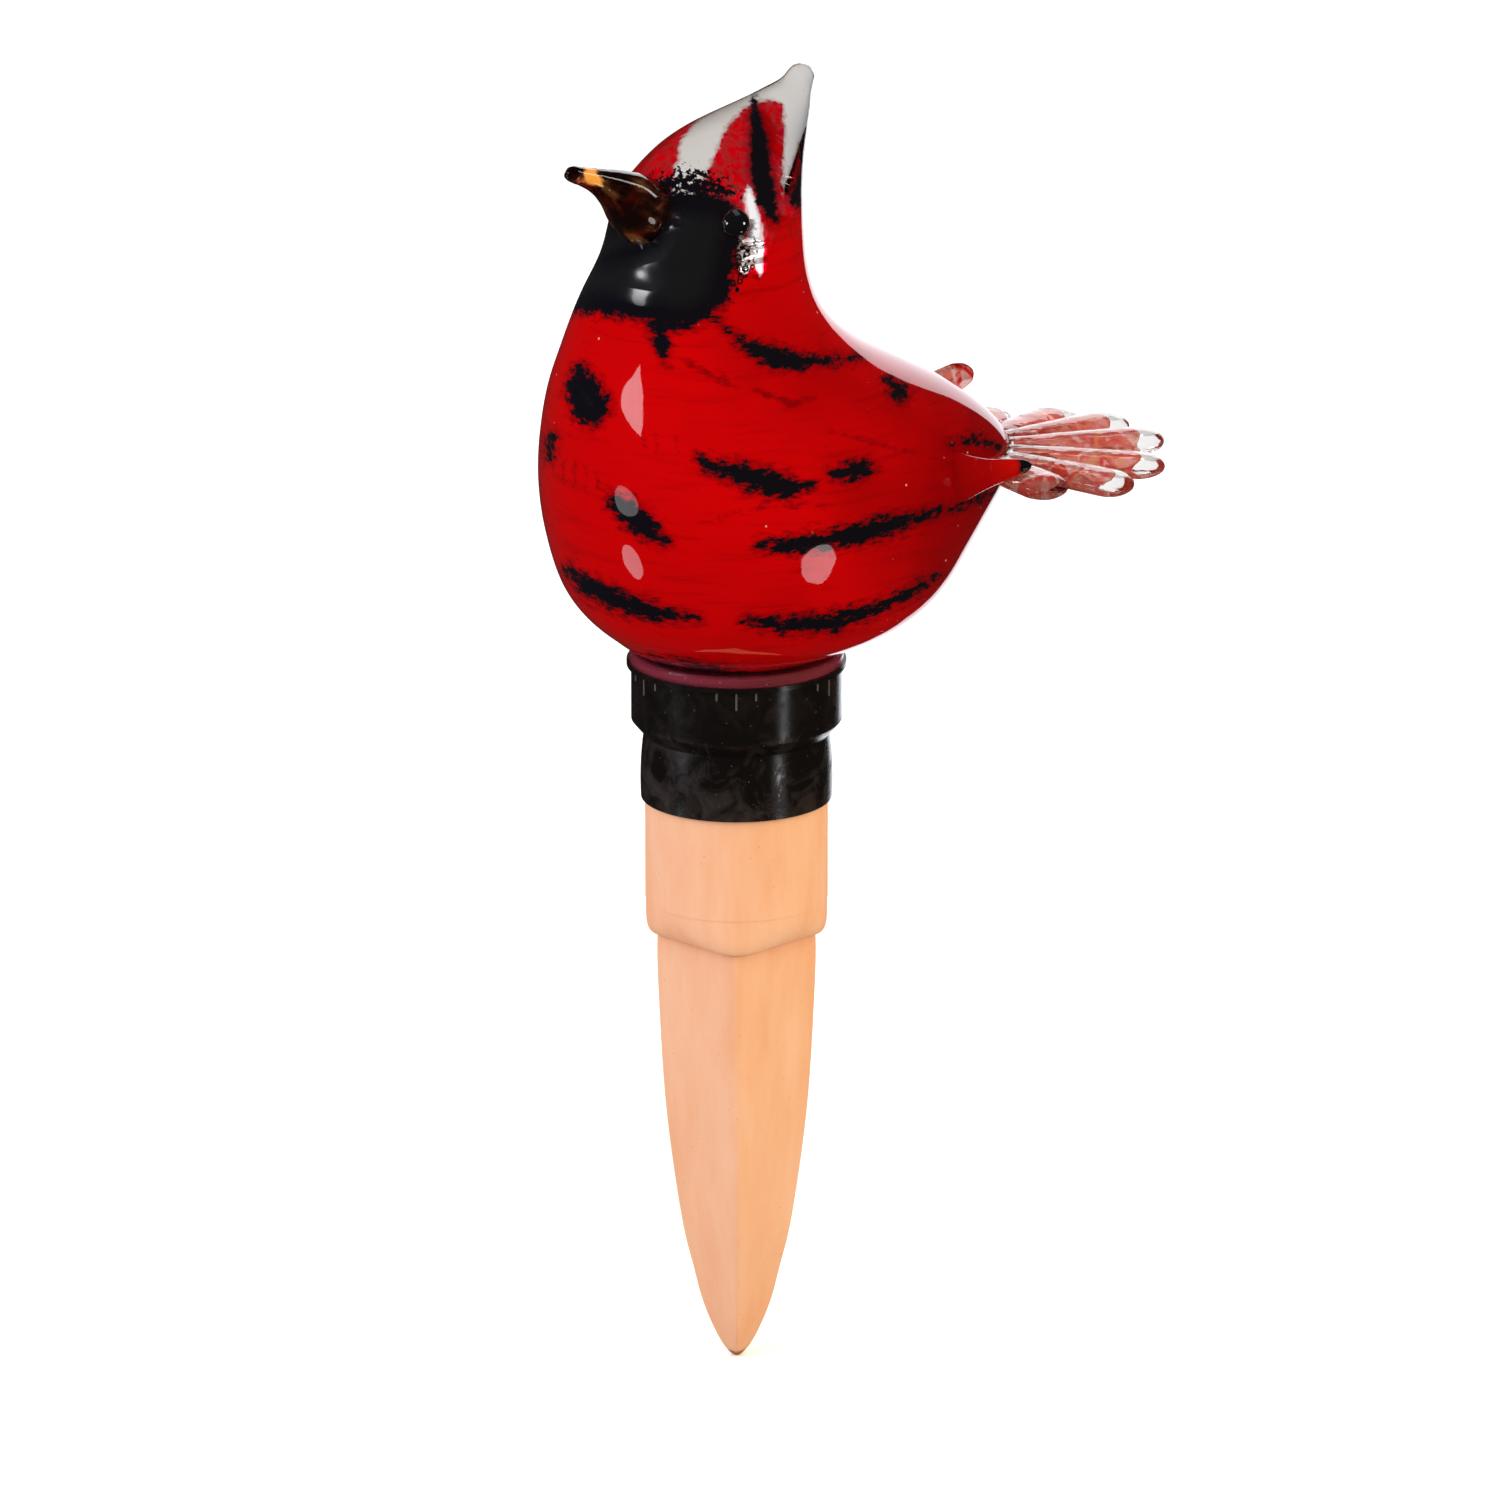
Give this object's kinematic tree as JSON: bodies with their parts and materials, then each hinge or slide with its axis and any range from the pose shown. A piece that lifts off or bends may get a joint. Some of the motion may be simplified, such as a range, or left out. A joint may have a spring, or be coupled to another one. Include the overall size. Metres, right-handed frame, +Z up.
{
  "type": "watering globe",
  "caption": "Glass bird that holds water over a hollow terracotta spike, joined by a rubber collar, for pot plants.",
  "frame": {"origin": "on the spike's axis at the soil line, where the collar's lower rim stops", "axes": "+Z up through the bird's crest, the bird's chest towards -Y and its tail towards +Y"},
  "size_m": [0.0904, 0.1388, 0.2915],
  "materials": {
    "terracotta": "unglazed, matte",
    "black_rubber": "satin, moulded",
    "clear_gasket": "soft, clear, mauve where the red glass shows in it",
    "red_glass": "polished, blown",
    "amber_glass": "polished",
    "black_glass": "polished",
    "clear_glass": "polished"
  },
  "bodies": {
    "spike": {"terracotta_spike": "terracotta"},
    "collar": {"rubber_collar": "black_rubber"},
    "gasket": {"neck_gasket": "clear_gasket"},
    "globe": {"glass_body": "red_glass", "beak": "amber_glass", "eye_left": "black_glass", "eye_right": "black_glass", "wing_left": "red_glass", "wing_right": "red_glass", "tail_feather_1": "clear_glass", "tail_feather_2": "clear_glass", "tail_feather_3": "clear_glass", "tail_feather_4": "clear_glass", "tail_feather_5": "clear_glass", "tail_feather_6": "clear_glass", "tail_feather_7": "clear_glass"}
  },
  "joints": [
    {"name": "collar_pull", "type": "slide", "parent": "spike", "child": "collar", "axis": [0, 0, 1], "range_m": [0, 0.03]},
    {"name": "globe_swivel", "type": "hinge", "parent": "collar", "child": "gasket", "pos_m": [0, 0, 0.0311], "axis": [0, 0, 1], "continuous": true},
    {"name": "globe_lift", "type": "slide", "parent": "gasket", "child": "globe", "axis": [0, 0, 1], "range_m": [0, 0.06]}
  ]
}
